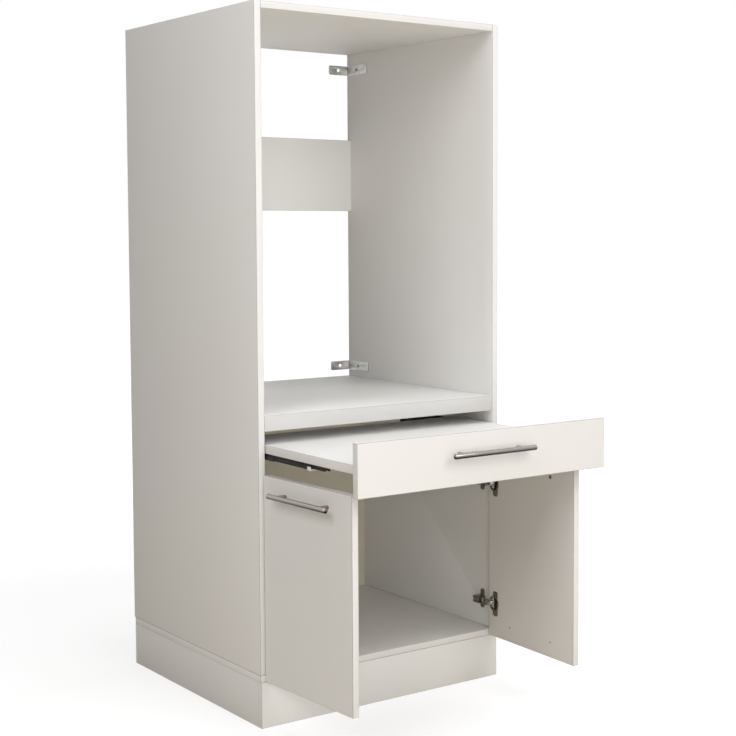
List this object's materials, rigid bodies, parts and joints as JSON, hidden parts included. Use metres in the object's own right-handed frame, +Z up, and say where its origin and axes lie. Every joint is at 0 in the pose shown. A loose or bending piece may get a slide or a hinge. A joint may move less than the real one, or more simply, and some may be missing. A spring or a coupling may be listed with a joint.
{
  "type": "washing machine cabinet",
  "caption": "Tall white cabinet with an open appliance niche above a pull-out shelf and a low two-door cupboard on concealed hinges.",
  "frame": {"origin": "on the floor, at the middle of the underside of the plinth's front board", "axes": "+Z up, the cabinet's front looks along -Y, +X to the right as seen from the front"},
  "size_m": [0.7104, 1.076, 1.613],
  "materials": {
    "white_melamine": "satin white melamine on chipboard",
    "white_front": "smooth white lacquered front board",
    "back_board": "thin white hardboard",
    "beech": "plain fluted beech dowel",
    "zinc": "bright zinc plate",
    "dark_nickel": "nickel plated pressed steel",
    "pin_steel": "plain bright steel",
    "handle_steel": "brushed steel",
    "runner_steel": "black coated steel",
    "cage_steel": "plain steel cage and balls",
    "catch_plastic": "moulded white plastic"
  },
  "bodies": {
    "carcass": {"side_panel_left": "white_melamine", "side_panel_right": "white_melamine", "top_panel": "white_melamine", "bottom_panel": "white_melamine", "appliance_shelf": "white_melamine", "back_rail": "white_melamine", "plinth_front": "white_melamine", "plinth_back": "white_melamine", "plinth_side_left": "white_melamine", "plinth_side_right": "white_melamine", "back_panel": "back_board", "board_dowels": "beech", "cam_locks": "zinc", "cam_bolts": "zinc", "base_screws": "zinc", "wall_brackets_upper": "zinc", "wall_brackets_lower": "zinc", "carcass_wood_screws": "zinc", "hinge_arms": "dark_nickel", "hinge_plates": "dark_nickel", "hinge_set_screws": "dark_nickel", "hinge_arm_pins": "pin_steel", "runner_cabinet_rail_left": "runner_steel", "runner_cabinet_rail_right": "runner_steel"},
    "door_left": {"door_left": "white_front", "door_handle_bar_left": "handle_steel", "door_handle_posts_left": "handle_steel", "door_handle_screws_left": "zinc", "hinge_cups_left": "dark_nickel", "hinge_cup_pins_left": "pin_steel", "hinge_cup_screws_left": "dark_nickel"},
    "outer_links_left": {"hinge_outer_links_left": "dark_nickel"},
    "inner_links_left": {"hinge_inner_links_left": "dark_nickel"},
    "middle_rail_left": {"runner_middle_rail_left": "runner_steel", "runner_catch_left": "catch_plastic"},
    "outer_cage_left": {"runner_outer_cage_left": "cage_steel"},
    "inner_cage_left": {"runner_inner_cage_left": "cage_steel"},
    "door_right": {"door_right": "white_front", "door_handle_bar_right": "handle_steel", "door_handle_posts_right": "handle_steel", "door_handle_screws_right": "zinc", "hinge_cups_right": "dark_nickel", "hinge_cup_pins_right": "pin_steel", "hinge_cup_screws_right": "dark_nickel"},
    "outer_links_right": {"hinge_outer_links_right": "dark_nickel"},
    "inner_links_right": {"hinge_inner_links_right": "dark_nickel"},
    "middle_rail_right": {"runner_middle_rail_right": "runner_steel", "runner_catch_right": "catch_plastic"},
    "outer_cage_right": {"runner_outer_cage_right": "cage_steel"},
    "inner_cage_right": {"runner_inner_cage_right": "cage_steel"},
    "pullout": {"pullout_shelf": "white_melamine", "shelf_front": "white_front", "shelf_front_dowels": "beech", "shelf_handle_bar": "handle_steel", "shelf_handle_posts": "handle_steel", "shelf_handle_screws": "zinc", "runner_shelf_rail_left": "runner_steel", "runner_shelf_rail_right": "runner_steel", "shelf_rail_screws": "zinc"}
  },
  "joints": [
    {"name": "shelf_slide", "type": "slide", "parent": "carcass", "child": "pullout", "axis": [0, 1, 0], "range_m": [0, 0.375]},
    {"name": "outer_link_hinge_left", "type": "hinge", "parent": "carcass", "child": "outer_links_left", "pos_m": [-0.3043, 0.0085, 0.34], "axis": [0, 0, -1], "range_deg": [-2.44, 28.28]},
    {"name": "door_hinge_left", "type": "hinge", "parent": "outer_links_left", "child": "door_left", "pos_m": [-0.31185, -0.02054, 0.34], "axis": [0, 0, -1], "range_deg": [-115.76, 9.92]},
    {"name": "inner_link_hinge_left", "type": "hinge", "parent": "carcass", "child": "inner_links_left", "pos_m": [-0.3031, -0.0084, 0.34], "axis": [0, 0, -1], "range_deg": [-3.17, 36.77]},
    {"name": "middle_rail_slide_left", "type": "slide", "parent": "carcass", "child": "middle_rail_left", "axis": [0, 1, 0], "range_m": [-0.0005, 0.188]},
    {"name": "outer_cage_slide_left", "type": "slide", "parent": "carcass", "child": "outer_cage_left", "axis": [0, 1, 0], "range_m": [-0.0005, 0.09425]},
    {"name": "inner_cage_slide_left", "type": "slide", "parent": "carcass", "child": "inner_cage_left", "axis": [0, 1, 0], "range_m": [-0.0005, 0.28175]},
    {"name": "outer_link_hinge_right", "type": "hinge", "parent": "carcass", "child": "outer_links_right", "pos_m": [0.3043, 0.0085, 0.34], "axis": [0, 0, 1], "range_deg": [-2.44, 28.28]},
    {"name": "door_hinge_right", "type": "hinge", "parent": "outer_links_right", "child": "door_right", "pos_m": [0.31185, -0.02054, 0.34], "axis": [0, 0, 1], "range_deg": [-115.76, 9.92]},
    {"name": "inner_link_hinge_right", "type": "hinge", "parent": "carcass", "child": "inner_links_right", "pos_m": [0.3031, -0.0084, 0.34], "axis": [0, 0, 1], "range_deg": [-3.17, 36.77]},
    {"name": "middle_rail_slide_right", "type": "slide", "parent": "carcass", "child": "middle_rail_right", "axis": [0, 1, 0], "range_m": [-0.0005, 0.188]},
    {"name": "outer_cage_slide_right", "type": "slide", "parent": "carcass", "child": "outer_cage_right", "axis": [0, 1, 0], "range_m": [-0.0005, 0.09425]},
    {"name": "inner_cage_slide_right", "type": "slide", "parent": "carcass", "child": "inner_cage_right", "axis": [0, 1, 0], "range_m": [-0.0005, 0.28175]}
  ],
  "couplings": [
    {"joint": "outer_link_hinge_left", "follows": "door_hinge_left", "ratio": -0.24414},
    {"joint": "inner_link_hinge_left", "follows": "door_hinge_left", "ratio": -0.31746},
    {"joint": "middle_rail_slide_left", "follows": "shelf_slide", "ratio": 0.5},
    {"joint": "outer_cage_slide_left", "follows": "shelf_slide", "ratio": 0.25},
    {"joint": "inner_cage_slide_left", "follows": "shelf_slide", "ratio": 0.75},
    {"joint": "outer_link_hinge_right", "follows": "door_hinge_right", "ratio": -0.24414},
    {"joint": "inner_link_hinge_right", "follows": "door_hinge_right", "ratio": -0.31746},
    {"joint": "middle_rail_slide_right", "follows": "shelf_slide", "ratio": 0.5},
    {"joint": "outer_cage_slide_right", "follows": "shelf_slide", "ratio": 0.25},
    {"joint": "inner_cage_slide_right", "follows": "shelf_slide", "ratio": 0.75}
  ]
}
